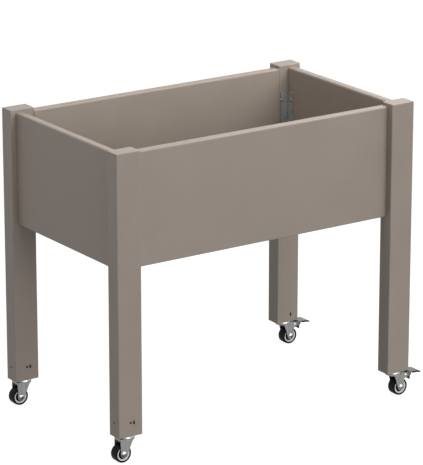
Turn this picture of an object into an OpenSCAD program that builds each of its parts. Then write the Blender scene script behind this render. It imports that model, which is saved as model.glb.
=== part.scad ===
// Rolling planter: a hollow-walled resin box on four tall corner posts, each on a small
// swivel caster. The two casters at the +X end have a foot brake.
// Millimetres. Z = 0 is the floor, +X runs along the box's long side.

/* [Box] */
// Length of the box over its legs
body_l = 818; // [760:1:860]
// Width of the box over its legs
body_w = 490; // [460:5:540]
// Height of a leg, from its foot to the top of its cap
leg_h = 660; // [600:5:720]
// Size of a leg's section along the long side
leg_x = 63; // [58:1:64]
// Size of a leg's section along the short side
leg_y = 40; // [38:1:42]
// Radius of a leg's upright corners
leg_r = 2.5; // [2:0.5:4]
// Wall of the hollow leg
leg_t = 3; // [2.5:0.5:3.5]
// Height of the four walls
wall_h = 266; // [240:2:290]
// Thickness of the four walls
wall_t = 22; // [20:1:23]
// Drop from a leg's top to the rim of the walls
rim_drop = 7; // [5:1:12]
// How far the short walls stand back from the legs' outer faces
short_setback = 14; // [11:1:16]
// Radius of the rim's edges
rim_r = 4.5; // [3:0.5:6]

/* [Floor] */
// Thickness of the floor panel
floor_t = 4; // [3:0.5:5]
// Diameter of a drain hole
drain_d = 8; // [6:1:12]
// Number of ribs under the floor, front to back
rib_count = 7; // [5:1:9]

/* [Casters] */
// Diameter of a wheel
wheel_d = 42; // [40:1:43]
// Width of a tyre
tyre_w = 22; // [20:1:22]
// Height of a caster, from the ground to the leg's foot
caster_h = 63; // [62:1:66]
// How far a wheel's axle trails behind the swivel axis
trail = 14; // [13:0.5:15]
// Thickness of the pressed sheet of fork and brake
sheet = 2; // [1.6:0.1:2]
// Radius of the fork's round crown
crown_r = 19; // [18.5:0.5:20]
// Radius of the swivel stem in its socket
stem_r = 5.5; // [4.5:0.5:6]
// Number of balls in a swivel race
ball_count = 14; // [10:1:16]

/* [Hidden] */
$fn = 96;
CORNERS = ["front_left", "front_right", "rear_left", "rear_right"];
BRAKED = [1, 3];
PER_CORNER = ["leg", "leg_cap", "foot_socket", "caster_stem", "fork", "ball_ring", "axle",
    "wheel_core", "thread_guards", "tyre"];
PER_BRAKE = ["brake_lever", "brake_shoe", "brake_pin", "pedal_pad"];
BODY_NODES = ["front_wall", "rear_wall", "left_wall", "right_wall", "floor_panel",
    "front_ledge", "rear_ledge", "floor_bearers", "corner_brackets", "wall_screws",
    "ledge_screws", "foot_screws"];

RESIN = [0.60, 0.56, 0.52];
DARK_RESIN = [0.22, 0.21, 0.20];
ZINC = [0.66, 0.67, 0.68];
GREY_NYLON = [0.84, 0.84, 0.83];
BLACK = [0.05, 0.05, 0.05];

eps = 0.01;
leg_top = caster_h + leg_h;
rim_z = leg_top - rim_drop;
wall_z = rim_z - wall_h;
long_setback = leg_y - wall_t;          // the long walls end flush with the legs inside
long_len = body_l - 2 * leg_x;
short_len = body_w - 2 * leg_y;
inner_x = body_l / 2 - short_setback - wall_t;
inner_y = body_w / 2 - leg_y;

// Walls
skin = 3;                               // skin and webs of a hollow wall
foot_r = 1.5;                           // edge radius at a wall's foot
chambers = 4;
chamber_h = (wall_h - (chambers + 1) * skin) / chambers;
tongue_t = wall_t - 8;                  // the tongue at a wall's end, let into the leg
tongue_l = 12;
tongue_gap = 8;                         // wall left above and below a tongue
slot_gap = 0.2;

// Caps and sockets
cap_t = 3;
cap_edge = 1.8;
plug_gap = 0.3;
plug_t = 2;
plug_h = 12;
socket_h = 45;
socket_bore_h = 40;
socket_web = 12;
socket_wall = 2.5;
socket_base = 7;

// Floor and what carries it
angle_t = 3;
angle_h = 20;
angle_w = 22;
ledge_len = long_len - 6;
bearer_w = 30;
bearer_t = 2.5;
bearer_x = [-240, 0, 240];
ledge_z = wall_z + 3;
bearer_z = ledge_z + angle_t;
floor_z = ledge_z + angle_h;
floor_gap = 1;
rib_h = 8;
rib_t = 3;
rib_end = 10;                           // from a rib's end to the floor's edge
rib_side = 30;                          // from the outermost rib to the floor's edge
drain_x = [-320, -120, 120, 320];
drain_y = 110;
drain_sink = 1.5;
drain_flare = 3;

// Brackets and screws
bracket_w = 22;
bracket_t = 2.5;
bracket_h = 170;
bracket_z = floor_z + floor_t + 10;
bracket_screw_z = [20, 85, 150];
screw_r = 1.6;
head_r = 3.6;
head_h = 1.8;
wall_screw_l = 8;
leg_screw_l = 10;
foot_screw_l = 9;
screw_fit = 0.05;
leg_screw_x = body_l / 2 - leg_x + 7;
wall_screw_y = inner_y - 13;
ledge_screw_n = 6;
ledge_screw_end = 30;
ledge_screw_up = 10.5;
foot_screw_z = 32.5;
foot_hole_r = 2.9;
foot_head_r = 2.7;
foot_head_sunk = 2;
foot_screw_y = [-1, 1, -1, 1];          // side of each leg that has its long-face screw
window_y = [-1, 1, -1, -1];             // side of each leg that has the socket's catch
window_up = [32, 32, 32, 18];
window_w = 4.5;
window_h = 9;
window_off = 8.5;                       // from the leg's middle, toward +X
catch_sunk = 2.2;

// Caster, in a frame with the swivel axis at the origin, the leg's foot at z = 0 and the
// wheel trailing toward +X
wheel_r = wheel_d / 2;
axle_z = wheel_r - caster_h;
cap_r = 18.4;
cap_drop = 4.6;
crown_z = -5;
skirt_z = crown_z - 4.5;
crown_back = trail + 9.5;
fork_in = tyre_w / 2 + 1.2;             // half the space between the ears
fork_out = fork_in + sheet;
ear_r = 8.5;
pivot_r = 4;                            // stem where the crown turns on it
running_fit = 0.08;
axle_r = 3;
dome_r = 7.6;
dome_h = 3.4;
dome_socket_r = 2.3;
dome_socket = 1.4;
tyre_shoulder = 1.5;
rim_ring_r = 16.8;
rim_ring_in = 12.4;
core_w = tyre_w - 1.8;
hub_r = 6.2;
hub_w = 2 * fork_in - 1.4;

// Brake: its pin in the same frame, then side views of its parts with the pin at the origin
pin_x = trail + 13;
pin_z = -13.5;
pin_r = 2;
lug_r = 6;
cheek_r = 5;
cheek_out = fork_in - 0.4;
CHEEK = [[0, 5], [19, 4.3], [18.6, -3.5], [13, -6], [6, -7], [-2.5, -3.5]];
WEB = [[17.2, 4.3], [19.4, 4.3], [18.6, -3.5], [16.4, -3.5]];
SHOE = [[8, 0.5], [15.6, 0.5], [15.6, -4.1], [16.6, -4.1], [16.6, -14.7], [15.4, -15.3],
    [5.6, -8.9], [6.6, -6.5]];
BLADE = [[13, 5.3], [21, 5.1], [33, 4.5], [39, 3.6], [42, 2.3]];
pedal_w = 28;
pad_x = 21;
pad_t = 2;
pad_lip = 1.5;
pad_tip = BLADE[len(BLADE) - 1] + [pad_lip, -pad_lip / 2];

pedal_over = pin_x + pad_tip.x - leg_x / 2;
mid_x = -pedal_over / 2;                // centres the whole object, pedals and all

function side_x(i) = i % 2 == 0 ? -1 : 1;
function side_y(i) = i < 2 ? -1 : 1;
function leg_cx(i) = side_x(i) * (body_l - leg_x) / 2;
function leg_cy(i) = side_y(i) * (body_w - leg_y) / 2;

// Point where the line from p touches the circle round c on its left side
function tangent(p, c, r) =
    let (d = p - c, turn = atan2(d.y, d.x) + acos(r / norm(d)))
    c + r * [cos(turn), sin(turn)];

module at_body() translate([mid_x, 0, 0]) children();

module flip_x(on) {
    if (on) mirror([1, 0, 0]) children();
    else children();
}

module flip_y(on) {
    if (on) mirror([0, 1, 0]) children();
    else children();
}

// Children are drawn for the front left corner
module at_corner(i) at_body() flip_x(side_x(i) > 0) flip_y(side_y(i) > 0) children();

module at_leg(i) at_body() translate([leg_cx(i), leg_cy(i), caster_h]) children();

module at_caster(i) at_leg(i) flip_x(side_x(i) < 0) children();

module rounded_rect(x, y, r) {
    square([x - 2 * r, y], center = true);
    square([x, y - 2 * r], center = true);
    for (sx = [-1, 1]) for (sy = [-1, 1])
        translate([sx * (x / 2 - r), sy * (y / 2 - r)]) circle(r = r, $fn = 48);
}

module bar_x(r, l) rotate([0, 90, 0]) cylinder(r = r, h = l);
module bar_y(r, l) rotate([-90, 0, 0]) cylinder(r = r, h = l);

// ---- Legs -------------------------------------------------------------------

// Pilot holes for the bracket screws that reach the long wall's tongue
module tongue_screw_holes() {
    for (z = bracket_screw_z)
        translate([-leg_screw_x, -inner_y - 9, bracket_z + z]) bar_y(screw_r + screw_fit, 10);
}

module leg(i) {
    color(RESIN) difference() {
        at_leg(i) difference() {
            linear_extrude(leg_h - cap_t) rounded_rect(leg_x, leg_y, leg_r);
            translate([0, 0, -1]) linear_extrude(leg_h + 2)
                rounded_rect(leg_x - 2 * leg_t, leg_y - 2 * leg_t, 1);
            translate([side_x(i) * leg_x / 2, 0, foot_screw_z])
                rotate([0, 0, side_x(i) > 0 ? 180 : 0]) translate([-1, 0, 0])
                    bar_x(foot_hole_r, leg_t + 2);
            translate([0, foot_screw_y[i] * leg_y / 2, foot_screw_z])
                rotate([0, 0, foot_screw_y[i] > 0 ? 180 : 0]) translate([0, -1, 0])
                    bar_y(foot_hole_r, leg_t + 2);
            translate([window_off - window_w / 2,
                       window_y[i] * (leg_y - leg_t) / 2 - (leg_t + 2) / 2,
                       window_up[i] - window_h / 2])
                cube([window_w, leg_t + 2, window_h]);
        }
        at_corner(i) {
            translate([-body_l / 2 + leg_x - leg_t - 1,
                       -body_w / 2 + long_setback + (wall_t - tongue_t) / 2 - slot_gap,
                       wall_z + tongue_gap - slot_gap])
                cube([leg_t + 2, tongue_t + 2 * slot_gap,
                      wall_h - 2 * tongue_gap + 2 * slot_gap]);
            translate([-body_l / 2 + short_setback + (wall_t - tongue_t) / 2 - slot_gap,
                       -body_w / 2 + leg_y - leg_t - 1,
                       wall_z + tongue_gap - slot_gap])
                cube([tongue_t + 2 * slot_gap, leg_t + 2,
                      wall_h - 2 * tongue_gap + 2 * slot_gap]);
            tongue_screw_holes();
        }
    }
}

// Upright section of a plate of width w whose top edges are rounded
module eased_section(w) {
    translate([-w / 2, 0]) square([w, cap_t - cap_edge]);
    translate([-w / 2 + cap_edge, 0]) square([w - 2 * cap_edge, cap_t]);
    intersection() {
        for (s = [-1, 1]) translate([s * (w / 2 - cap_edge), cap_t - cap_edge])
            circle(r = cap_edge, $fn = 32);
        translate([-w / 2, 0]) square([w, cap_t]);
    }
}

// Flat cap with eased edges and a hollow plug that grips inside the leg
module leg_cap(i) {
    run_x = leg_x - 2 * leg_r;
    run_y = leg_y - 2 * leg_r;
    color(RESIN) at_leg(i) translate([0, 0, leg_h - cap_t]) {
        translate([-run_x / 2, 0, 0]) rotate([90, 0, 90])
            linear_extrude(run_x) eased_section(leg_y);
        translate([0, run_y / 2, 0]) rotate([90, 0, 0])
            linear_extrude(run_y) eased_section(leg_x);
        for (sx = [-1, 1]) for (sy = [-1, 1])
            translate([sx * run_x / 2, sy * run_y / 2, 0]) rotate_extrude($fn = 48)
                intersection() {
                    eased_section(2 * leg_r);
                    square([leg_r, cap_t]);
                }
        translate([0, 0, -plug_h]) linear_extrude(plug_h + eps) difference() {
            rounded_rect(leg_x - 2 * (leg_t + plug_gap), leg_y - 2 * (leg_t + plug_gap), 1);
            square([leg_x - 2 * (leg_t + plug_gap + plug_t),
                    leg_y - 2 * (leg_t + plug_gap + plug_t)], center = true);
        }
    }
}

// Block in the leg's foot: takes the caster's stem, is pocketed to save resin, and clicks
// into the leg's window with a catch
module foot_socket(i) {
    sx = leg_x - 2 * (leg_t + plug_gap);
    sy = leg_y - 2 * (leg_t + plug_gap);
    px = (sx - socket_web) / 2 - socket_wall;
    py = (sy - socket_web) / 2 - socket_wall;
    color(DARK_RESIN) at_leg(i) difference() {
        union() {
            linear_extrude(socket_h) rounded_rect(sx, sy, 1);
            translate([window_off - window_w / 2 + slot_gap,
                       window_y[i] > 0 ? 0 : -leg_y / 2 + catch_sunk,
                       window_up[i] - window_h / 2 + slot_gap])
                cube([window_w - 2 * slot_gap, leg_y / 2 - catch_sunk,
                      window_h - 2 * slot_gap]);
        }
        for (ux = [-1, 1]) for (uy = [-1, 1])
            translate([ux > 0 ? socket_web / 2 : -socket_web / 2 - px,
                       uy > 0 ? socket_web / 2 : -socket_web / 2 - py, socket_base])
                cube([px, py, socket_h]);
        translate([0, 0, -1]) cylinder(r = stem_r + 0.05, h = socket_bore_h + 1);
        foot_screw_pair(i) foot_screw(screw_fit);
    }
}

// Two screws through the leg's faces into the socket, heads sunk in the wall
module foot_screw_pair(i) {
    translate([side_x(i) * leg_x / 2, 0, foot_screw_z])
        rotate([0, 0, side_x(i) > 0 ? 180 : 0]) children();
    translate([0, foot_screw_y[i] * leg_y / 2, foot_screw_z])
        rotate([0, 0, foot_screw_y[i] > 0 ? -90 : 90]) children();
}

module foot_screw(fit) {
    translate([foot_head_sunk, 0, 0]) bar_x(foot_head_r, leg_t - foot_head_sunk + plug_gap);
    translate([foot_head_sunk, 0, 0]) bar_x(screw_r + fit, foot_screw_l);
}

module foot_screws() {
    color(ZINC) for (i = [0:3]) at_leg(i) foot_screw_pair(i) foot_screw(0);
}

// ---- Walls ------------------------------------------------------------------

// Outline of a wall across its thickness, outer face at x = 0, foot at y = 0
module wall_outline() {
    translate([0, foot_r]) square([wall_t, wall_h - foot_r - rim_r]);
    translate([foot_r, 0]) square([wall_t - 2 * foot_r, foot_r + eps]);
    translate([rim_r, wall_h - rim_r - eps]) square([wall_t - 2 * rim_r, rim_r + eps]);
    for (x = [rim_r, wall_t - rim_r])
        translate([x, wall_h - rim_r]) circle(r = rim_r, $fn = 48);
    for (x = [foot_r, wall_t - foot_r])
        translate([x, foot_r]) circle(r = foot_r, $fn = 24);
}

module wall_chambers() {
    for (k = [0:chambers - 1])
        translate([skin, skin + k * (chamber_h + skin)])
            square([wall_t - 2 * skin, chamber_h]);
}

// A hollow wall of length l along +X, middle at x = 0, outer face at y = 0
module hollow_wall(l) {
    translate([-l / 2, 0, 0]) rotate([90, 0, 90]) linear_extrude(l) difference() {
        wall_outline();
        wall_chambers();
    }
    for (s = [-1, 1]) {
        translate([s * (l / 2 - skin / 2) - skin / 2, 0, 0])
            rotate([90, 0, 90]) linear_extrude(skin) wall_outline();
        translate([s > 0 ? l / 2 - skin : -l / 2 - tongue_l,
                   (wall_t - tongue_t) / 2, tongue_gap])
            cube([tongue_l + skin, tongue_t, wall_h - 2 * tongue_gap]);
    }
}

module long_wall(s) {
    color(RESIN) difference() {
        at_body() flip_y(s > 0) translate([0, -body_w / 2 + long_setback, wall_z])
            hollow_wall(long_len);
        for (i = s > 0 ? [2, 3] : [0, 1]) at_corner(i) tongue_screw_holes();
        at_body() flip_y(s > 0) ledge_screw_places() hole_y_out(screw_r + screw_fit, 8);
    }
}

module short_wall(s) {
    color(RESIN) difference() {
        at_body() flip_x(s > 0) translate([-body_l / 2 + short_setback, 0, wall_z])
            rotate([0, 0, -90]) hollow_wall(short_len);
        for (i = s > 0 ? [1, 3] : [0, 2]) at_corner(i) wall_screw_places()
            translate([-8, 0, 0]) bar_x(screw_r + screw_fit, 9);
    }
}

// ---- Floor ------------------------------------------------------------------

module drain_holes() {
    for (x = drain_x) for (y = [-drain_y, drain_y]) translate([x, y, 0]) {
        translate([0, 0, -1]) cylinder(d = drain_d, h = floor_t + 2);
        translate([0, 0, floor_t - drain_sink])
            cylinder(d1 = drain_d, d2 = drain_d + 2 * drain_flare, h = drain_sink + eps);
    }
}

module floor_panel() {
    fx = inner_x - floor_gap;
    fy = inner_y - floor_gap;
    ends = [-fx + rib_end, each [for (x = bearer_x) each
        [x - bearer_w / 2 - 2, x + bearer_w / 2 + 2]], fx - rib_end];
    pitch = 2 * (fy - rib_side) / (rib_count - 1);
    color(RESIN) at_body() translate([0, 0, floor_z]) difference() {
        union() {
            linear_extrude(floor_t) rounded_rect(2 * fx, 2 * fy, 3);
            for (k = [0:2:len(ends) - 1]) for (r = [0:rib_count - 1])
                translate([ends[k], -fy + rib_side + r * pitch - rib_t / 2, -rib_h])
                    cube([ends[k + 1] - ends[k], rib_t, rib_h + eps]);
        }
        drain_holes();
    }
}

// Angle along a long wall that carries the bearers and the floor's edge
module ledge(s) {
    color(ZINC) difference() {
        at_body() flip_y(s > 0) translate([-ledge_len / 2, -inner_y, ledge_z])
            rotate([90, 0, 90]) linear_extrude(ledge_len) union() {
                square([angle_t, angle_h]);
                square([angle_w, angle_t]);
            }
        at_body() flip_y(s > 0) ledge_screw_places() hole_y_out(screw_r + screw_fit, 2 * angle_t);
    }
}

module ledge_screw_places() {
    first = ledge_len / 2 - ledge_screw_end;
    for (k = [0:ledge_screw_n - 1])
        translate([-first + k * 2 * first / (ledge_screw_n - 1), -inner_y + angle_t,
                   ledge_z + ledge_screw_up]) children();
}

// A hole from just inside the ledge's face outward, l deep
module hole_y_out(r, l) translate([0, -l, 0]) bar_y(r, l + 1);

module floor_bearers() {
    l = 2 * (inner_y - angle_t - 0.5);
    h = angle_h - angle_t;
    color(ZINC) at_body() for (x = bearer_x) translate([x, -l / 2, bearer_z]) difference() {
        translate([-bearer_w / 2, 0, 0]) cube([bearer_w, l, h]);
        translate([-bearer_w / 2 + bearer_t, -1, -1])
            cube([bearer_w - 2 * bearer_t, l + 2, h - bearer_t + 1]);
    }
}

// ---- Brackets and screws ------------------------------------------------------

module wall_screw_places() {
    for (z = bracket_screw_z)
        translate([-inner_x + bracket_t, -wall_screw_y, bracket_z + z]) children();
}

module corner_brackets() {
    color(ZINC) for (i = [0:3]) at_corner(i) difference() {
        translate([-inner_x, -inner_y, bracket_z]) linear_extrude(bracket_h) union() {
            square([bracket_t, bracket_w]);
            square([bracket_w, bracket_t]);
        }
        wall_screw_places() translate([-bracket_t - 1, 0, 0])
            bar_x(screw_r + screw_fit, bracket_t + 2);
        for (z = bracket_screw_z)
            translate([-leg_screw_x, -inner_y - 1, bracket_z + z])
                bar_y(screw_r + screw_fit, bracket_t + 2);
    }
}

// Round-headed screw along +X, its head's seat at x = 0 and its point at x = -l
module round_screw(l) {
    translate([-l, 0, 0]) bar_x(screw_r, l + eps);
    rotate([0, 90, 0]) rotate_extrude($fn = 48) intersection() {
        translate([0, head_h - 5]) circle(r = 5);
        square([head_r, head_h]);
    }
}

module wall_screws() {
    color(ZINC) for (i = [0:3]) at_corner(i) {
        wall_screw_places() round_screw(wall_screw_l);
        for (z = bracket_screw_z)
            translate([-leg_screw_x, -inner_y + bracket_t, bracket_z + z])
                rotate([0, 0, 90]) round_screw(leg_screw_l);
    }
}

module ledge_screws() {
    color(ZINC) at_body() for (s = [-1, 1]) flip_y(s > 0) ledge_screw_places()
        rotate([0, 0, 90]) round_screw(wall_screw_l);
}

// ---- Swivel -----------------------------------------------------------------

// Stem, race cap under the leg's foot, and the riveted end that holds the crown
module caster_stem(i) {
    color(ZINC) at_caster(i) {
        translate([0, 0, -1.8]) cylinder(r = stem_r, h = socket_bore_h - 1);
        translate([0, 0, -1.8]) cylinder(r1 = cap_r - 0.6, r2 = cap_r - 1, h = 1.8);
        rotate_extrude() polygon([[cap_r - 2.6, -1], [cap_r - 0.8, -1],
            [cap_r, -cap_drop], [cap_r - 1.8, -cap_drop]]);
        translate([0, 0, crown_z - sheet - 1]) cylinder(r = pivot_r, h = sheet + 5);
        translate([0, 0, crown_z - sheet - 0.4]) rotate([180, 0, 0])
            rotate_extrude() intersection() {
                translate([0, 2.4 - 12]) circle(r = 12);
                square([7.5, 2.4]);
            }
    }
}

// Retainer of the swivel race with its balls, on top of the crown
module ball_ring(i) {
    color(ZINC) at_caster(i) {
        translate([0, 0, crown_z]) difference() {
            cylinder(r = 13.5, h = 0.9);
            translate([0, 0, -1]) cylinder(r = 10.5, h = 3);
        }
        for (k = [0:ball_count - 1]) rotate([0, 0, k * 360 / ball_count])
            translate([12, 0, crown_z + 1.35]) sphere(r = 1.2, $fn = 24);
    }
}

// ---- Fork -------------------------------------------------------------------

// Outline of the crown seen from above, drawn in by g on every side
module crown_outline(g) {
    r = 4;
    circle(r = crown_r - g);
    translate([0, -fork_out + g]) square([crown_back - r, 2 * (fork_out - g)]);
    translate([0, -fork_out + r]) square([crown_back - g, 2 * (fork_out - r)]);
    for (s = [-1, 1])
        translate([crown_back - r, s * (fork_out - r)]) circle(r = r - g, $fn = 32);
}

// Outline of an ear seen from the side: flared off the crown at the front, upright at the
// back, and round about the axle. With a brake it is narrower and has a lug for the pin
module ear_outline(braked) {
    axle = [trail, axle_z];
    front = braked ? [[-8, skirt_z - 1], [-4.5, skirt_z - 3.5], [-2, skirt_z - 8]]
        : [[-9.5, skirt_z - 2], [-7, skirt_z - 7]];
    touch = tangent(front[len(front) - 1], axle, ear_r);
    difference() {
        union() {
            translate(axle) circle(r = ear_r, $fn = 64);
            polygon([[-12.4, crown_z - 1], [-12, skirt_z], each front, touch, axle,
                axle + [ear_r, 0], [trail + ear_r, crown_z - 1]]);
            if (braked) {
                translate([pin_x, pin_z]) circle(r = lug_r, $fn = 48);
                polygon([[trail + ear_r - 1, crown_z - 3], [pin_x, pin_z + lug_r],
                    [pin_x, pin_z - lug_r], [trail + ear_r - 1, pin_z - lug_r - 5]]);
            }
        }
        translate(axle) circle(r = axle_r + 0.02);
        if (braked) translate([pin_x, pin_z]) circle(r = pin_r + 0.02, $fn = 48);
    }
}

module fork(i) {
    braked = len(search(i, BRAKED)) > 0;
    color(ZINC) at_caster(i) difference() {
        union() {
            translate([0, 0, crown_z - sheet]) linear_extrude(sheet) crown_outline(0);
            difference() {
                translate([0, 0, skirt_z]) linear_extrude(crown_z - skirt_z) difference() {
                    crown_outline(0);
                    crown_outline(sheet);
                }
                if (braked) translate([crown_back - 4, -fork_in, skirt_z - 1])
                    cube([10, 2 * fork_in, crown_z - skirt_z - sheet + 1]);
            }
            for (y = [-fork_in, fork_out]) translate([0, y, 0])
                rotate([90, 0, 0]) linear_extrude(sheet) ear_outline(braked);
        }
        translate([0, 0, crown_z - sheet - 1])
            cylinder(r = pivot_r + running_fit, h = sheet + 2);
    }
}

// Axle with a domed end outside each ear
module axle(i) {
    color(ZINC) at_caster(i) translate([trail, 0, axle_z]) {
        translate([0, -fork_out, 0]) bar_y(axle_r, 2 * fork_out);
        for (s = [0, 180]) rotate([0, 0, s]) translate([0, -fork_out, 0])
            rotate([90, 0, 0]) difference() {
                dome = (dome_r * dome_r + dome_h * dome_h) / (2 * dome_h);
                rotate_extrude() intersection() {
                    translate([0, dome_h - dome]) circle(r = dome);
                    square([dome_r, dome_h]);
                }
                translate([0, 0, dome_h - dome_socket])
                    cylinder(r = dome_socket_r, h = dome_socket + 1, $fn = 6);
            }
    }
}

// ---- Wheel ------------------------------------------------------------------

module at_axle(i) at_caster(i) translate([trail, 0, axle_z]) rotate([90, 0, 0]) children();

// Tyre with rounded shoulders
module tyre(i) {
    h = tyre_w / 2;
    color(BLACK) at_axle(i) rotate_extrude() intersection() {
        union() {
            translate([0, -h]) square([wheel_r - tyre_shoulder, tyre_w]);
            translate([0, -h + tyre_shoulder]) square([wheel_r, tyre_w - 2 * tyre_shoulder]);
            for (s = [-1, 1]) translate([wheel_r - tyre_shoulder, s * (h - tyre_shoulder)])
                circle(r = tyre_shoulder, $fn = 48);
        }
        translate([rim_ring_r, -h]) square([wheel_r - rim_ring_r, tyre_w]);
    }
}

// Wheel centre: a bright rim ring, a deep recess with six ribs, and a hub on the axle
module wheel_core(i) {
    h = core_w / 2;
    bevel = 1;
    web = 2.5;
    rib_w = 6.2;
    color(GREY_NYLON) at_axle(i) difference() {
        union() {
            rotate_extrude() polygon([[rim_ring_in, -h + bevel], [rim_ring_in + bevel, -h],
                [rim_ring_r, -h], [rim_ring_r, h], [rim_ring_in + bevel, h],
                [rim_ring_in, h - bevel]]);
            translate([0, 0, -web]) cylinder(r = rim_ring_in + 1, h = 2 * web);
            translate([0, 0, -hub_w / 2]) cylinder(r = hub_r, h = hub_w);
            for (k = [0:5]) rotate([0, 0, 60 * k])
                translate([hub_r - 1, -1, -rib_w]) cube([rim_ring_in - hub_r + 1.5, 2, 2 * rib_w]);
        }
        translate([0, 0, -hub_w]) cylinder(r = axle_r + running_fit, h = 2 * hub_w);
    }
}

// Two dished covers that keep threads and grit out of the wheel's recesses
module thread_guards(i) {
    r = rim_ring_in - 0.3;
    seat = 6.2;
    color(BLACK) at_axle(i) for (s = [0, 180]) rotate([s, 0, 0]) rotate_extrude()
        polygon([[hub_r + 0.2, seat], [r, seat], [r, seat + 2.2], [r - 0.8, seat + 2.2],
            [r - 1.8, seat + 1.2], [hub_r + 0.2, seat + 1.2]]);
}

// ---- Brake ------------------------------------------------------------------

module at_pin(i) at_caster(i) translate([pin_x, 0, pin_z]) children();

module across(w) translate([0, w / 2, 0]) rotate([90, 0, 0]) linear_extrude(w) children();

// Side view of a strip of thickness t under a line of points
module strip(line, t) {
    polygon([each line, each [for (k = [len(line) - 1:-1:0]) line[k] - [0, t]]]);
}

module pedal_blade() across(pedal_w) strip(BLADE, sheet);

// Pressed lever: two cheeks on the pin, a web behind the wheel and the pedal's blade
module brake_lever(i) {
    color(ZINC) at_pin(i) difference() {
        union() {
            for (y = [-cheek_out + sheet, cheek_out]) translate([0, y, 0])
                rotate([90, 0, 0]) linear_extrude(sheet) {
                    circle(r = cheek_r, $fn = 48);
                    polygon(CHEEK);
                }
            across(2 * cheek_out) polygon(WEB);
            pedal_blade();
        }
        translate([0, -cheek_out - 1, 0]) bar_y(pin_r + running_fit, 2 * cheek_out + 2);
    }
}

// Wedge between the cheeks that bears on the tyre when the pedal is down
module brake_shoe(i) {
    color(BLACK) at_pin(i) across(2 * (cheek_out - sheet) - 0.4) polygon(SHOE);
}

module brake_pin(i) {
    head = 1.4;
    color(ZINC) at_pin(i) {
        translate([0, -fork_out, 0]) bar_y(pin_r, 2 * fork_out);
        for (s = [0, 180]) rotate([0, 0, s]) translate([0, -fork_out, 0])
            rotate([90, 0, 0]) rotate_extrude($fn = 48) intersection() {
                translate([0, head - 5]) circle(r = 5);
                square([3.4, head]);
            }
    }
}

// Black tread under the pedal, its lip round the blade's three free edges
module pedal_pad(i) {
    color(BLACK) at_pin(i) difference() {
        intersection() {
            across(pedal_w + 2 * pad_lip) strip([each BLADE, pad_tip], sheet + pad_t);
            translate([pad_x, -pedal_w, -caster_h]) cube([60, 2 * pedal_w, 2 * caster_h]);
        }
        pedal_blade();
    }
}

// ---- Nodes ------------------------------------------------------------------

long_wall(-1);  // front_wall
long_wall(1);  // rear_wall
short_wall(-1);  // left_wall
short_wall(1);  // right_wall
floor_panel();
ledge(-1);  // front_ledge
ledge(1);  // rear_ledge
floor_bearers();
corner_brackets();
wall_screws();
ledge_screws();
foot_screws();
for (i = [0:3]) {
    leg(i);
    leg_cap(i);
    foot_socket(i);
    caster_stem(i);
    fork(i);
    ball_ring(i);
    axle(i);
    wheel_core(i);
    thread_guards(i);
    tyre(i);
}
for (i = BRAKED) {
    brake_lever(i);
    brake_shoe(i);
    brake_pin(i);
    pedal_pad(i);
}
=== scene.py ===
"""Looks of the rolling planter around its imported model: camera, studio, finishes and fine pieces.

Everything is in metres in the model's own frame: Z = 0 is the floor, +X is the braked end and
-Y the long side that the photograph shows.
"""

import math

import bmesh
import bpy
import numpy as np
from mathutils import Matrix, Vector


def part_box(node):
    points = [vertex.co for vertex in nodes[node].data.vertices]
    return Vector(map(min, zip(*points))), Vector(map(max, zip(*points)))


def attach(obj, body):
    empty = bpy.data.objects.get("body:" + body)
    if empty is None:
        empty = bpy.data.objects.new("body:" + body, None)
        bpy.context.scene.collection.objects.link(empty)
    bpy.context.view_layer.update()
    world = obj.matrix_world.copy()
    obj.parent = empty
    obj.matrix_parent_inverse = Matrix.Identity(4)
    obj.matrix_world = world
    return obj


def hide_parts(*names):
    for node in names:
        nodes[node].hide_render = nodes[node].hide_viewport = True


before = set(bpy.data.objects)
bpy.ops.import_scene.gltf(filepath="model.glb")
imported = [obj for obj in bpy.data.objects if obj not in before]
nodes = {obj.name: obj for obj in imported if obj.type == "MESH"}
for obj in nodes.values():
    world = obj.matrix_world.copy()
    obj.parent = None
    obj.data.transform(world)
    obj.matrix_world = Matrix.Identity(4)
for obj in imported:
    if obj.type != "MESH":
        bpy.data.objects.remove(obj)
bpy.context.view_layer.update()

MM = 0.001
ORIGIN = (0.0, 0.0, 0.0)
CORNERS = ("front_left", "front_right", "rear_left", "rear_right")
BRAKED = ("front_right", "rear_right")


# ---- Camera -----------------------------------------------------------------

# Fitted to the planter's edges in the photograph's 423 x 465 frame
FRAME_TALL = 465
FOCAL_PX = 3004.84
CAMERA_PLACE = (-3.79478, -5.54915, 2.48070)
CAMERA_TURN = -34.2845
CAMERA_RISE = 17.1196
CAMERA_REACH = 300


def add_camera():
    """Camera of the photograph."""
    camera = bpy.data.objects.new("camera", bpy.data.cameras.new("camera"))
    bpy.context.scene.collection.objects.link(camera)
    camera.location = CAMERA_PLACE
    camera.rotation_euler = (math.radians(90 - CAMERA_RISE), 0, math.radians(CAMERA_TURN))
    camera.data.lens = FOCAL_PX * camera.data.sensor_width / FRAME_TALL
    camera.data.clip_end = CAMERA_REACH
    bpy.context.scene.camera = camera


add_camera()


# ---- Shader helpers -----------------------------------------------------------

def srgb(*levels):
    """Linear colour of 8-bit display levels."""
    shares = np.array(levels) / 255
    linear = np.where(shares <= 0.04045, shares / 12.92, ((shares + 0.055) / 1.055) ** 2.4)
    return (*linear.tolist(), 1.0)


def scaled(colour, share):
    """A colour made lighter or darker."""
    return (*(level * share for level in colour[:3]), 1.0)


def feed(tree, made, inputs):
    """Links or sets a shader node's inputs, by name or number."""
    for key, value in inputs.items():
        if isinstance(value, bpy.types.NodeSocket):
            tree.links.new(value, made.inputs[key])
        else:
            made.inputs[key].default_value = value


def add_node(tree, kind, inputs=None, **settings):
    """A shader node with its settings and inputs."""
    made = tree.nodes.new("ShaderNode" + kind)
    for key, value in settings.items():
        setattr(made, key, value)
    feed(tree, made, inputs or {})
    return made


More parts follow.
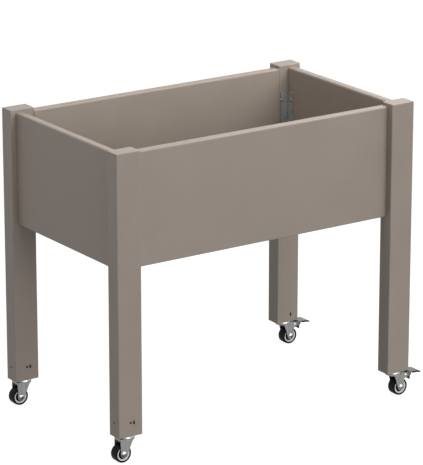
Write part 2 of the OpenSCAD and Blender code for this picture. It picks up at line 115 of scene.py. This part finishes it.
def maths(tree, operation, a, b):
    """Result of one Math node, held from 0 to 1."""
    return add_node(tree, "Math", {0: a, 1: b}, operation=operation, use_clamp=True).outputs[0]


def map_range(tree, value, low, high, to_low=0.0, to_high=1.0):
    """Value taken from low..high to to_low..to_high, held at the ends."""
    inputs = {"Value": value, "From Min": low, "From Max": high, "To Min": to_low, "To Max": to_high}
    return add_node(tree, "MapRange", inputs).outputs["Result"]


def mix_value(tree, amount, a, b):
    """Value a, going over to b as amount goes to 1."""
    return add_node(tree, "Mix", {0: amount, 2: a, 3: b}).outputs[0]


def mix_colour(tree, amount, a, b):
    """Colour a, going over to b as amount goes to 1."""
    return add_node(tree, "Mix", {0: amount, 6: a, 7: b}, data_type="RGBA").outputs[2]


def cover(tree, mask, amount, under, over):
    """Colour under, with the share amount of the colour over wherever the mask is 1."""
    return mix_colour(tree, maths(tree, "MULTIPLY", mask, amount), under, over)


def noise(tree, place, size, detail=2.0, roughness=0.5):
    """Noise value whose lumps are about size metres across."""
    inputs = {"Vector": place, "Scale": 1.0 / size, "Detail": detail, "Roughness": roughness}
    return add_node(tree, "TexNoise", inputs).outputs["Fac"]


def draw_out(tree, place, stretch):
    """Coordinates times stretch, which draws a pattern out along the axes where stretch is small."""
    return add_node(tree, "VectorMath", {0: place, 1: stretch}, operation="MULTIPLY").outputs[0]


def bump(tree, height, depth, normal):
    """Normal with a relief that is depth metres deep."""
    inputs = {"Height": height, "Distance": depth, "Strength": 1.0, "Normal": normal}
    return add_node(tree, "Bump", inputs).outputs["Normal"]


def new_group(name, inputs, outputs):
    """An empty shader group with its input and output sockets by name."""
    group = bpy.data.node_groups.new(name, "ShaderNodeTree")
    for title, (kind, value) in inputs.items():
        socket = group.interface.new_socket(title, in_out="INPUT", socket_type="NodeSocket" + kind)
        socket.default_value = value
    for title, kind in outputs.items():
        group.interface.new_socket(title, in_out="OUTPUT", socket_type="NodeSocket" + kind)
    return group, group.nodes.new("NodeGroupInput").outputs, group.nodes.new("NodeGroupOutput")


def place_group(tree, group, inputs):
    """Outputs of a group placed in a material with its own values."""
    made = tree.nodes.new("ShaderNodeGroup")
    made.node_tree = group
    feed(tree, made, inputs)
    return made.outputs


# ---- Shader groups ------------------------------------------------------------

# Ranges of noise values that are spread out to a whole mask: the narrower, the harder its edges
NARROW = (0.35, 0.65)
MIDDLING = (0.3, 0.7)
BROAD = (0.2, 0.8)

# Cosine between an edge's rounded and flat normals where wear starts, and where it is full
EDGE_TURNS = (0.97, 0.75)

# Open share of the view where the painted corner shade starts, and where it is full
OPEN_VIEWS = (0.92, 0.40)


def make_grain_group():
    """Moulded grain: streaks drawn out along the piece under a stipple, and a slow drift of tone."""
    group, given, out = new_group(
        "moulded_grain",
        {"Place": ("Vector", ORIGIN), "Stretch": ("Vector", (1.0, 1.0, 1.0))},
        {"Relief": "Float", "Tone": "Float"},
    )
    streak_size, stipple_size, drift_size = 1.4 * MM, 0.6 * MM, 90 * MM
    stippled, streaked = 0.45, 0.30
    drawn = draw_out(group, given["Place"], given["Stretch"])
    streaks = noise(group, drawn, streak_size, detail=3.0)
    stipple = noise(group, given["Place"], stipple_size, detail=1.0)
    drift = noise(group, given["Place"], drift_size, detail=3.0)
    feed(group, out, {
        "Relief": mix_value(group, stippled, streaks, stipple),
        "Tone": mix_value(group, streaked, drift, streaks),
    })
    return group


def make_edge_group():
    """Worn edges: the normal with its edges rounded, and where it turns, broken up by noise."""
    group, given, out = new_group(
        "worn_edges",
        {"Place": ("Vector", ORIGIN), "Radius": ("Float", 1.2 * MM)},
        {"Mask": "Float", "Normal": "Vector"},
    )
    patch_size, least_wear = 9 * MM, 0.25
    rounded = add_node(group, "Bevel", {"Radius": given["Radius"]}, samples=4).outputs["Normal"]
    flat = add_node(group, "NewGeometry").outputs["Normal"]
    along = add_node(group, "VectorMath", {0: rounded, 1: flat}, operation="DOT_PRODUCT").outputs["Value"]
    turned = map_range(group, along, *EDGE_TURNS)
    patches = noise(group, given["Place"], patch_size, detail=4.0, roughness=0.6)
    patchy = map_range(group, patches, *NARROW, least_wear, 1.0)
    feed(group, out, {"Mask": maths(group, "MULTIPLY", turned, patchy), "Normal": rounded})
    return group


def make_corner_shade_group():
    """Painted shade in corners: where nearby surfaces close the view, broken up by noise."""
    group, given, out = new_group(
        "painted_shade", {"Place": ("Vector", ORIGIN), "Reach": ("Float", 10 * MM)}, {"Mask": "Float"}
    )
    patch_size, least_shade = 12 * MM, 0.5
    opened = add_node(group, "AmbientOcclusion", {"Distance": given["Reach"]}, samples=6).outputs["AO"]
    closed = map_range(group, opened, *OPEN_VIEWS)
    patches = noise(group, given["Place"], patch_size, detail=4.0, roughness=0.6)
    patchy = map_range(group, patches, *MIDDLING, least_shade, 1.0)
    feed(group, out, {"Mask": maths(group, "MULTIPLY", closed, patchy)})
    return group


GRAIN = make_grain_group()
EDGES = make_edge_group()
CORNER_SHADE = make_corner_shade_group()


# ---- Finishes -----------------------------------------------------------------

TAUPE = srgb(147, 136, 126)
PRESSED_ZINC = srgb(141, 141, 141)
LEVER_ZINC = srgb(106, 106, 107)
SMOOTH_ZINC = srgb(202, 202, 201)
DULL_ZINC = srgb(168, 169, 168)
# Colour of the painted shade on steel, in corners and on surfaces that face down
STEEL_SHADE = srgb(58, 56, 52)
# Dark brown of the foot screws: a painted shade of the deep holes that they sit in
HOLE_SHADE_BROWN = srgb(40, 33, 27)
NYLON = srgb(240, 240, 238)
TYRE = srgb(8, 8, 8)
PLASTIC = srgb(20, 19, 19)
# Colour of the painted shade in the corners of nylon and black plastic
SHADE_TINT = srgb(120, 112, 102)

PLASTIC_IOR = 1.5

# Upward part of the normal where painted shade on surfaces that face down starts, and where it is full: on
# most steel, and on the axle domes' lower halves
UNDERSIDES = (0.12, -0.25)
LOWER_HALVES = (0.42, 0.10)


def new_material(name, **values):
    """A material whose shader sockets are set, its tree, its shader and the object's coordinates."""
    made = bpy.data.materials.new(name)
    made.use_nodes = True
    tree = made.node_tree
    shader = tree.nodes["Principled BSDF"]
    feed(tree, shader, {key.replace("_", " "): value for key, value in values.items()})
    return made, tree, shader, add_node(tree, "TexCoord").outputs["Object"]


def resin(name, stretch):
    """Warm grey moulded resin: satin, stippled and streaked along the piece.

    It is a little paler on its edges, and a painted shade darkens its joints.
    """
    made, tree, shader, place = new_material(name, IOR=PLASTIC_IOR)
    darkest, lightest = scaled(TAUPE, 0.955), scaled(TAUPE, 1.045)
    rubbed, joint_shade_tint = scaled(TAUPE, 1.45), scaled(TAUPE, 0.5)
    edge_wear, joint_shade = 0.16, 0.35
    smoothest, roughest = 0.44, 0.54
    edge_radius, joint_reach, relief_depth = 1.0 * MM, 6 * MM, 0.05 * MM

    relief, tone = place_group(tree, GRAIN, {"Place": place, "Stretch": stretch})
    drifted = mix_colour(tree, map_range(tree, tone, *MIDDLING), darkest, lightest)
    worn, rounded = place_group(tree, EDGES, {"Place": place, "Radius": edge_radius})
    # Painted shade darkens the joints, where nearby surfaces close the view
    corner_shade_mask = place_group(tree, CORNER_SHADE, {"Place": place, "Reach": joint_reach})["Mask"]
    pale = cover(tree, worn, edge_wear, drifted, rubbed)
    feed(tree, shader, {
        "Base Color": cover(tree, corner_shade_mask, joint_shade, pale, joint_shade_tint),
        "Roughness": map_range(tree, tone, *MIDDLING, smoothest, roughest),
        "Normal": bump(tree, relief, relief_depth, rounded),
    })
    return made


def steel(name, colour, roughness, brushed, painted_shade, leaning=UNDERSIDES):
    """Plated steel: finely brushed in broader bands, its edges rounded and bright.

    The brushing is noise drawn out along the direction in which brushed is small. A painted shade darkens
    and roughens the corners and the surfaces that lean toward the floor: from none to all of it as the
    normal's upward part goes through the range leaning.
    """
    made, tree, shader, place = new_material(name, Metallic=1.0)
    darkest, lightest, rubbed = scaled(colour, 0.84), scaled(colour, 1.10), scaled(colour, 1.25)
    edge_wear, lined, least_underside_shade, shaded_roughness = 0.5, 0.4, 0.6, 0.6
    line_size, band_size, patch_size = 0.5 * MM, 4 * MM, 9 * MM
    edge_radius, corner_reach, line_depth = 0.35 * MM, 4 * MM, 0.015 * MM

    drawn = draw_out(tree, place, brushed)
    lines = noise(tree, drawn, line_size, detail=3.0, roughness=0.6)
    bands = noise(tree, drawn, band_size)
    tone = map_range(tree, mix_value(tree, lined, bands, lines), *NARROW)
    plated = mix_colour(tree, tone, darkest, lightest)
    worn, rounded = place_group(tree, EDGES, {"Place": place, "Radius": edge_radius})
    bright = cover(tree, worn, edge_wear, plated, rubbed)

    # Painted shade: darker in corners and on surfaces that lean toward the floor
    corner_shade_mask = place_group(tree, CORNER_SHADE, {"Place": place, "Reach": corner_reach})["Mask"]
    facing = add_node(tree, "TexCoord").outputs["Normal"]
    upward = add_node(tree, "SeparateXYZ", {0: facing}).outputs["Z"]
    patches = noise(tree, place, patch_size, detail=3.0)
    patchy = map_range(tree, patches, *NARROW, least_underside_shade, 1.0)
    underside_shade = maths(tree, "MULTIPLY", map_range(tree, upward, *leaning), patchy)
    shade_mask = maths(tree, "MULTIPLY", maths(tree, "MAXIMUM", corner_shade_mask, underside_shade), painted_shade)
    feed(tree, shader, {
        "Base Color": mix_colour(tree, shade_mask, bright, STEEL_SHADE),
        "Roughness": map_range(tree, shade_mask, 0.0, 1.0, roughness, shaded_roughness),
        "Normal": bump(tree, lines, line_depth, rounded),
    })
    return made


def galvanised(name):
    """Dull zinc of the hidden fittings: crystals of slightly different greys, painted shade in the corners.

    A Voronoi cell colour gives each crystal its tone, and the layer of white rust over the zinc
    makes it part metal and part chalky.
    """
    made, tree, shader, place = new_material(name, Metallic=0.55)
    darkest, lightest, rubbed = scaled(DULL_ZINC, 0.82), scaled(DULL_ZINC, 1.12), scaled(DULL_ZINC, 1.25)
    edge_wear, painted_corner_shade, chalked = 0.4, 0.35, 0.5
    smoothest, roughest = 0.38, 0.55
    crystal_size, chalk_size, chalk_depth = 5 * MM, 20 * MM, 0.03 * MM
    edge_radius, corner_reach = 0.35 * MM, 6 * MM

    cells = add_node(tree, "TexVoronoi", {"Vector": place, "Scale": 1.0 / crystal_size}).outputs["Color"]
    crystal = add_node(tree, "SeparateXYZ", {0: cells}).outputs["X"]
    chalk = noise(tree, place, chalk_size, detail=4.0, roughness=0.6)
    tone = mix_value(tree, chalked, crystal, chalk)
    plated = mix_colour(tree, map_range(tree, tone, *BROAD), darkest, lightest)
    worn, rounded = place_group(tree, EDGES, {"Place": place, "Radius": edge_radius})
    bright = cover(tree, worn, edge_wear, plated, rubbed)
    # Painted shade in the corners, where nearby surfaces close the view
    corner_shade_mask = place_group(tree, CORNER_SHADE, {"Place": place, "Reach": corner_reach})["Mask"]
    feed(tree, shader, {
        "Base Color": cover(tree, corner_shade_mask, painted_corner_shade, bright, STEEL_SHADE),
        "Roughness": map_range(tree, tone, *BROAD, smoothest, roughest),
        "Normal": bump(tree, chalk, chalk_depth, rounded),
    })
    return made


def nylon(name):
    """Light grey moulded nylon of the wheel centres: faintly clouded, stippled, with painted shade in its
    corners.
    """
    made, tree, shader, place = new_material(name, IOR=PLASTIC_IOR)
    darkest, corner_shade_share = scaled(NYLON, 0.93), 0.4
    smoothest, roughest = 0.22, 0.34
    cloud_size, stipple_size, stipple_depth = 4 * MM, 0.5 * MM, 0.01 * MM
    edge_radius, corner_reach = 0.3 * MM, 3 * MM

    clouds = noise(tree, place, cloud_size, detail=3.0)
    stipple = noise(tree, place, stipple_size, detail=1.0)
    corner_shade_mask = place_group(tree, CORNER_SHADE, {"Place": place, "Reach": corner_reach})["Mask"]
    rounded = place_group(tree, EDGES, {"Place": place, "Radius": edge_radius})["Normal"]
    base = mix_colour(tree, map_range(tree, clouds, *MIDDLING), darkest, NYLON)
    feed(tree, shader, {
        "Base Color": cover(tree, corner_shade_mask, corner_shade_share, base, SHADE_TINT),
        "Roughness": map_range(tree, clouds, *MIDDLING, smoothest, roughest),
        "Normal": bump(tree, stipple, stipple_depth, rounded),
    })
    return made


def black(name, colour, roughness, specular, grain, depth):
    """Black moulded plastic or rubber: finely grained, greyer on its edges, with painted shade in its
    corners.
    """
    made, tree, shader, place = new_material(name, Specular_IOR_Level=specular)
    rubbed, edge_wear, corner_shade_share = scaled(colour, 3.0), 0.35, 0.04
    smoothest, roughest = roughness - 0.05, roughness + 0.08
    cloud_size, edge_radius, corner_reach = 6 * MM, 0.4 * MM, 4 * MM

    worn, rounded = place_group(tree, EDGES, {"Place": place, "Radius": edge_radius})
    corner_shade_mask = place_group(tree, CORNER_SHADE, {"Place": place, "Reach": corner_reach})["Mask"]
    clouds = noise(tree, place, cloud_size, detail=4.0, roughness=0.6)
    greyed = cover(tree, worn, edge_wear, colour, rubbed)
    feed(tree, shader, {
        "Base Color": cover(tree, corner_shade_mask, corner_shade_share, greyed, SHADE_TINT),
        "Roughness": map_range(tree, clouds, *MIDDLING, smoothest, roughest),
        "Normal": bump(tree, noise(tree, place, grain), depth, rounded),
    })
    return made


def paint(material, *names):
    """Gives CAD nodes a material."""
    for name in names:
        nodes[name].data.materials.clear()
        nodes[name].data.materials.append(material)


def each(part, corners=CORNERS):
    """Names of a part at several corners."""
    return [f"{part}_{corner}" for corner in corners]


# Stretch of a finish along X, Y and Z: the smaller the number, the longer the marks on that axis
STREAKED_UPRIGHT = (1.0, 1.0, 0.02)
STREAKED_LONG = (0.02, 1.0, 1.0)
STREAKED_SHORT = (1.0, 0.02, 1.0)
BRUSHED_UPRIGHT = (1.0, 1.0, 0.05)
BRUSHED_LONG = (0.05, 1.0, 1.0)
BRUSHED_FAINTLY = (1.0, 1.0, 0.3)

RESIN_UPRIGHT = resin("resin_upright", STREAKED_UPRIGHT)
RESIN_LONG = resin("resin_long", STREAKED_LONG)
RESIN_SHORT = resin("resin_short", STREAKED_SHORT)
ZINC_UPRIGHT = steel("zinc_upright", PRESSED_ZINC, roughness=0.34, brushed=BRUSHED_UPRIGHT, painted_shade=0.6)
ZINC_DULL = galvanised("zinc_dull")
ZINC_LEVER = steel("zinc_lever", LEVER_ZINC, roughness=0.38, brushed=BRUSHED_LONG, painted_shade=0.6)
ZINC_SMOOTH = steel("zinc_smooth", SMOOTH_ZINC, roughness=0.16, brushed=BRUSHED_FAINTLY, painted_shade=1.0)
# Axle domes: a painted shade darkens their lower halves, under the highlight
ZINC_DOME = steel("zinc_dome", SMOOTH_ZINC, roughness=0.16, brushed=BRUSHED_FAINTLY, painted_shade=1.0,
                  leaning=LOWER_HALVES)
# Foot screws: their dark brown paints the shade of the holes that they sit in
STEEL_HOLE_SHADED = steel("steel_painted_hole_shade", HOLE_SHADE_BROWN, roughness=0.40, brushed=BRUSHED_FAINTLY, painted_shade=0.6)
NYLON_GREY = nylon("nylon_grey")
TYRE_BLACK = black("tyre_black", TYRE, roughness=0.55, specular=0.10, grain=0.8 * MM, depth=0.03 * MM)
PLASTIC_BLACK = black("plastic_black", PLASTIC, roughness=0.45, specular=0.18, grain=0.4 * MM,
                      depth=0.02 * MM)

paint(RESIN_LONG, "front_wall", "rear_wall", "floor_panel")
paint(RESIN_SHORT, "left_wall", "right_wall")
paint(RESIN_UPRIGHT, *each("leg"), *each("leg_cap"))
paint(ZINC_UPRIGHT, *each("fork"))
paint(ZINC_DULL, "corner_brackets", "front_ledge", "rear_ledge", "floor_bearers")
paint(ZINC_LEVER, *each("brake_lever", BRAKED))
paint(ZINC_SMOOTH, "wall_screws", "ledge_screws", *each("caster_stem"), *each("ball_ring"),
      *each("brake_pin", BRAKED))
paint(ZINC_DOME, *each("axle"))
paint(STEEL_HOLE_SHADED, "foot_screws")
paint(NYLON_GREY, *each("wheel_core"))
paint(TYRE_BLACK, *each("tyre"))
paint(PLASTIC_BLACK, *each("foot_socket"), *each("thread_guards"), *each("brake_shoe", BRAKED),
      *each("pedal_pad", BRAKED))


# ---- Studio -------------------------------------------------------------------

WHITE = (1.0, 1.0, 1.0, 1.0)
SKY = (0.096, 0.096, 0.096, 1.0)
FLOOR_SIDE = 120.0
FLOOR_DROP = 0.2 * MM
FLOOR_GREY = (0.30, 0.30, 0.30, 1.0)
FLOOR_GLOW = 0.90

# Soft light from far away: direction that it comes from, and strength
SUN_SPREAD = 50.0
SUNS = {
    "front_wash": ((0.0, -1.0, 0.0), 1.74),
    "front_right": ((0.35, -1.0, 0.7), 1.10),
    "back_wash": ((0.3, 1.0, 0.0), 0.50),
}

# Softboxes: place, point that they face, power in watts, width, height and colour
NEUTRAL = (1.0, 1.0, 1.0)
WARM = (1.0, 0.94, 0.93)
SOFTBOXES = {
    "left_box": ((-1.7, 0.2, 1.9), (-0.42, 0.0, 0.5), 10.8, 1.2, 1.2, WARM),
    "rim_box": ((0.0, -0.45, 1.35), (0.0, -0.2, 0.72), 2.8, 1.2, 0.5, NEUTRAL),
    "right_box": ((0.9, -0.1, 1.7), (0.2, -0.1, 0.7), 13.2, 0.9, 0.9, NEUTRAL),
}


def seen_or_mirrored(tree):
    """1 for what the camera sees straight or through gloss and glass, 0 for light that is thrown."""
    path = add_node(tree, "LightPath").outputs
    straight = maths(tree, "ADD", path["Is Camera Ray"], path["Is Glossy Ray"])
    return maths(tree, "ADD", straight, path["Is Transmission Ray"])


def add_world():
    """Even studio sky, white where it is seen or mirrored."""
    world = bpy.data.worlds.new("studio")
    world.use_nodes = True
    tree = world.node_tree
    colour = mix_colour(tree, seen_or_mirrored(tree), SKY, WHITE)
    feed(tree, tree.nodes["Background"], {"Color": colour, "Strength": 1.0})
    bpy.context.scene.world = world


def floor_material():
    """Pale floor: a glow that shows it white, under a faint shadow.

    To the light that it throws back it is plain grey.
    """
    made = bpy.data.materials.new("floor")
    made.use_nodes = True
    tree = made.node_tree
    tree.nodes.remove(tree.nodes["Principled BSDF"])
    grey = add_node(tree, "BsdfDiffuse", {"Color": FLOOR_GREY}).outputs[0]
    glow = add_node(tree, "Emission", {"Color": WHITE, "Strength": FLOOR_GLOW}).outputs[0]
    shown = add_node(tree, "AddShader", {0: grey, 1: glow}).outputs[0]
    mixed = add_node(tree, "MixShader", {0: seen_or_mirrored(tree), 1: grey, 2: shown}).outputs[0]
    tree.links.new(mixed, tree.nodes["Material Output"].inputs["Surface"])
    return made


def add_floor():
    """Flat floor under the wheels."""
    mesh = bpy.data.meshes.new("floor")
    half = FLOOR_SIDE / 2
    corners = [(x, y, -FLOOR_DROP) for x, y in ((-half, -half), (half, -half), (half, half), (-half, half))]
    mesh.from_pydata(corners, [], [(0, 1, 2, 3)])
    mesh.materials.append(floor_material())
    floor = bpy.data.objects.new("floor", mesh)
    bpy.context.scene.collection.objects.link(floor)


def add_lamp(name, kind, toward, place=ORIGIN, **settings):
    """A lamp at a place whose light comes from the direction toward."""
    lamp = bpy.data.lights.new(name, kind)
    for key, value in settings.items():
        setattr(lamp, key, value)
    made = bpy.data.objects.new(name, lamp)
    bpy.context.scene.collection.objects.link(made)
    made.location = place
    made.rotation_euler = Vector(toward).to_track_quat("Z", "Y").to_euler()


def add_lamps():
    """All suns and softboxes."""
    for name, (toward, strength) in SUNS.items():
        add_lamp(name, "SUN", toward, energy=strength, angle=math.radians(SUN_SPREAD))
    for name, (place, faced, power, wide, tall, colour) in SOFTBOXES.items():
        add_lamp(name, "AREA", Vector(place) - Vector(faced), place,
                 energy=power, color=colour, shape="RECTANGLE", size=wide, size_y=tall)


add_world()
add_floor()
add_lamps()
bpy.context.scene.view_settings.view_transform = "Standard"


# ---- Meshes -------------------------------------------------------------------

# Points closer together than this are one corner, and edges that turn more than this stay sharp
SAME_POINT = 0.001 * MM
SHARP_ANGLE = 35.0


def surface(name, grids, material):
    """Mesh object from grids of points, shape (copies, rows, columns, 3), whose columns close round.

    Each cell of a grid becomes a face. A row whose points all fall together becomes a pole, and
    the faces are turned outwards by the sign of the volume that they close.
    """
    copies, rows, columns = grids.shape[:3]
    row, column = np.meshgrid(np.arange(rows - 1), np.arange(columns), indexing="ij")
    after = (column + 1) % columns
    cell = np.stack([row * columns + column, row * columns + after,
                     (row + 1) * columns + after, (row + 1) * columns + column], -1).reshape(-1, 4)
    faces = (cell[None] + (np.arange(copies) * rows * columns)[:, None, None]).reshape(-1, 4)
    points = grids.reshape(-1, 3)
    a, b, c, d = (points[faces[:, k]] for k in range(4))
    volume = np.sum(np.cross(c - a, d - b) * (a + b + c + d))
    if volume < 0:
        faces = faces[:, ::-1]
    mesh = bpy.data.meshes.new(name)
    mesh.from_pydata(points.tolist(), [], faces.tolist())
    form = bmesh.new()
    form.from_mesh(mesh)
    bmesh.ops.remove_doubles(form, verts=form.verts, dist=SAME_POINT)
    form.to_mesh(mesh)
    form.free()
    mesh.shade_smooth()
    mesh.set_sharp_from_angle(angle=math.radians(SHARP_ANGLE))
    mesh.materials.append(material)
    made = bpy.data.objects.new(name, mesh)
    bpy.context.scene.collection.objects.link(made)
    return made


def solids(name):
    """Corner points of each separate solid of a CAD node, sorted by its least X, Y and Z.

    The search itself goes through sets, whose order isn't the same in each run.
    """
    form = bmesh.new()
    form.from_mesh(nodes[name].data)
    bmesh.ops.remove_doubles(form, verts=form.verts, dist=SAME_POINT)
    found, left = [], set(form.verts)
    while left:
        front = [left.pop()]
        members = list(front)
        while front:
            near = {edge.other_vert(v) for v in front for edge in v.link_edges} & left
            left -= near
            front = list(near)
            members += front
        found.append(np.array([v.co for v in members]))
    form.free()
    return sorted(found, key=lambda corners: corners.min(0).tolist())


# ---- Screws -------------------------------------------------------------------

SCREW_COLUMNS = 40
THREAD_ROWS = 30
DOME_ROWS = 14

BOX_HEAD_HIGH = 1.8 * MM
FOOT_HEAD_HIGH = 1.3 * MM
THREAD_PITCH = 1.4 * MM
TIP_LONG = 3 * MM

# The thread's root as a share of the shank's radius, and its flanks' slope in crest heights per pitch
THREAD_ROOT = 0.70
FLANK_FALL = 3.5

# The dome's fall as a share of the head's height, and how much of a quarter circle it follows
DOME_FALL = 0.65
DOME_CURVE = 0.9

# The cross's arms as shares of the head's radius: half width, width of a sloping side, and length
ARM_HALF_WIDE = 0.17
ARM_SLOPE = 0.06
ARM_LONG = 0.62

# The share of an arm over which its floor rises, and the cross's depth as a share of the head's height
ARM_RISE = 0.45
CROSS_DEEP = 0.5


def thread_rows(shank_r, threaded, turn):
    """Radius and height of a pointed thread that is threaded metres long.

    Its crest goes round once a pitch. The radius falls from the shank's at the crest to the
    root's in straight flanks, and the whole of it grows from nothing over the tip.
    """
    along = np.linspace(0, threaded, THREAD_ROWS)
    tip = np.clip(along / TIP_LONG, 0, 1)[:, None]
    saw = (along[:, None] / THREAD_PITCH - turn[None] / (2 * np.pi)) % 1.0
    crest = np.clip(1 - FLANK_FALL * np.minimum(saw, 1 - saw), 0, 1)
    radius = shank_r * tip * (THREAD_ROOT + (1 - THREAD_ROOT) * crest)
    return radius, np.repeat(along[:, None], turn.size, 1)


def dome_rows(head_r, head_high, length, turn):
    """Radius and height of a head's top, from its rim to its middle.

    It falls below its middle by DOME_FALL of the head's height, times 1 less the root of
    1 - DOME_CURVE share^2, where share is the radius over the head's. A cross is sunk in it,
    deepest in the middle and shallower toward the ends of its arms.
    """
    share = np.linspace(1, 0, DOME_ROWS)[:, None]
    radius = head_r * share * np.ones_like(turn)[None]
    fall = 1 - np.sqrt(np.clip(1 - DOME_CURVE * share ** 2, 0, 1))
    level = length - head_high * DOME_FALL * fall * np.ones_like(radius)

    x, y = radius * np.cos(turn), radius * np.sin(turn)
    across, out = np.minimum(abs(x), abs(y)), np.maximum(abs(x), abs(y))
    arm_long = ARM_LONG * head_r
    inside = np.clip((ARM_HALF_WIDE * head_r - across) / (ARM_SLOPE * head_r) + 1, 0, 1)
    sunk = inside * np.clip((arm_long - out) / (ARM_RISE * arm_long), 0, 1)
    return radius, level - CROSS_DEEP * head_high * sunk


def screw_grid(corners, head_high):
    """One cross-headed screw as a grid, on the line of a CAD screw.

    Along the screw the radius follows a profile: the pointed thread, then the head's flat seat,
    its side and its dome. The CAD screw's longest side gives its line, and its wider half the
    way that the head points.
    """
    low, high = corners.min(0), corners.max(0)
    middle = (low + high) / 2
    axis = int(np.argmax(high - low))
    radial = np.linalg.norm(np.delete(corners - middle, axis, 1), axis=1)
    beyond = corners[:, axis] > middle[axis]
    sign = 1.0 if radial[beyond].max() > radial[~beyond].max() else -1.0
    length = (high - low)[axis]
    head_r = radial.max()
    shank_r = radial[~beyond if sign > 0 else beyond].max()

    turn = np.linspace(0, 2 * np.pi, SCREW_COLUMNS, endpoint=False)
    thread_r, thread_z = thread_rows(shank_r, length - head_high, turn)
    dome_r, dome_z = dome_rows(head_r, head_high, length, turn)
    seat_r = np.vstack([thread_r[-1], np.full(SCREW_COLUMNS, head_r)])
    seat_z = np.full((2, SCREW_COLUMNS), length - head_high)
    radius = np.vstack([thread_r, seat_r, dome_r])
    level = np.vstack([thread_z, seat_z, dome_z])

    start = low[axis] if sign > 0 else high[axis]
    first, second = (k for k in range(3) if k != axis)
    grid = np.empty((*radius.shape, 3))
    grid[..., axis] = start + sign * level
    grid[..., first] = middle[first] + radius * np.cos(turn)
    grid[..., second] = middle[second] + radius * np.sin(turn)
    # the grid's handedness follows the axis and the way that the screw points
    return grid if (sign > 0) == (axis != 1) else grid[:, ::-1]


def add_screws(node, head_high, material):
    """Detailed screws in the place of a CAD node's plain ones."""
    grids = np.stack([screw_grid(corners, head_high) for corners in solids(node)])
    made = surface(node + "_crossed", grids, material)
    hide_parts(node)
    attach(made, "planter")


add_screws("wall_screws", BOX_HEAD_HIGH, ZINC_SMOOTH)
add_screws("ledge_screws", BOX_HEAD_HIGH, ZINC_SMOOTH)
add_screws("foot_screws", FOOT_HEAD_HIGH, STEEL_HOLE_SHADED)


# ---- Tyres --------------------------------------------------------------------

TYRE_COLUMNS = 120
SHOULDER_POINTS = 7
TREAD_POINTS = 8

TYRE_THICK = 4.2 * MM
SHOULDER_R = 1.5 * MM
CROWN_HIGH = 0.25 * MM
SEAM_HALF_WIDE = 0.25 * MM
SEAM_HIGH = 0.15 * MM
GROOVE_UP = 1.2 * MM
GROOVE_WIDE = 0.7 * MM
GROOVE_SLOPE = 0.2 * MM
GROOVE_DEEP = 0.35 * MM

# How far the lip reaches over the rim, and how far the rim's face lies below the tyre's side
LIP_WIDE = 0.8 * MM
RIM_DEEP = 0.95 * MM

# The lip's rounded edge: place above its inner end, and depth below the tyre's side
LIP_EDGE = ((0.0, 0.5 * MM), (0.12 * MM, 0.2 * MM), (0.4 * MM, 0.0))


def tyre_profile(outer, half, inner):
    """Half section of a tyre as (radius, place across) points that go round it once, in metres.

    The tread is crowned: its radius is the outer one less SEAM_HIGH and less CROWN_HIGH times
    (y / half)^2, with a mould seam up to the full radius in its middle, whose flanks lean at 45
    degrees. Shoulders are quarter circles, and each side has a groove. Below it a lip reaches
    over the face of the rim.
    """
    bead, groove = inner - LIP_WIDE, inner + GROOVE_UP
    side = [(inner, RIM_DEEP), (bead, RIM_DEEP)]
    side += [(bead + up, deep) for up, deep in LIP_EDGE]
    side += [(groove, 0.0), (groove + GROOVE_SLOPE, GROOVE_DEEP),
             (groove + GROOVE_WIDE - GROOVE_SLOPE, GROOVE_DEEP), (groove + GROOVE_WIDE, 0.0)]
    turn = np.radians(np.linspace(0, 90, SHOULDER_POINTS))
    top = outer - SEAM_HIGH - CROWN_HIGH - SHOULDER_R
    side += [(top + SHOULDER_R * math.sin(a), SHOULDER_R * (1 - math.cos(a))) for a in turn]
    left = [(radius, deep - half) for radius, deep in side]
    place = np.linspace(SHOULDER_R - half, -SEAM_HALF_WIDE - SEAM_HIGH, TREAD_POINTS)[1:]
    tread = [(outer - SEAM_HIGH - CROWN_HIGH * (y / half) ** 2, y) for y in place]
    one_side = left + tread + [(outer, -SEAM_HALF_WIDE)]
    return np.array(one_side + [(radius, -y) for radius, y in reversed(one_side)] + one_side[:1])


def lathe(profile, middle):
    """Grid of a (radius, place across) profile turned about a line through middle along Y."""
    turn = np.linspace(0, 2 * np.pi, TYRE_COLUMNS, endpoint=False)
    radius, across = profile[:, :1], profile[:, 1:]
    ring = np.stack([radius * np.cos(turn), across + 0 * turn, radius * np.sin(turn)], -1)
    return ring + middle


def add_tyres():
    """Tyres in the place of the plain ones: crowned, with a mould seam, side grooves and lips."""
    for corner in CORNERS:
        node = "tyre_" + corner
        low, high = (np.array(side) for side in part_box(node))
        half, outer = (high - low)[1] / 2, (high - low)[2] / 2
        profile = tyre_profile(outer, half, outer - TYRE_THICK)
        grid = lathe(profile, (low + high) / 2)
        made = surface(node + "_crowned", grid[None], TYRE_BLACK)
        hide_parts(node)
        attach(made, "wheel_" + corner)


add_tyres()
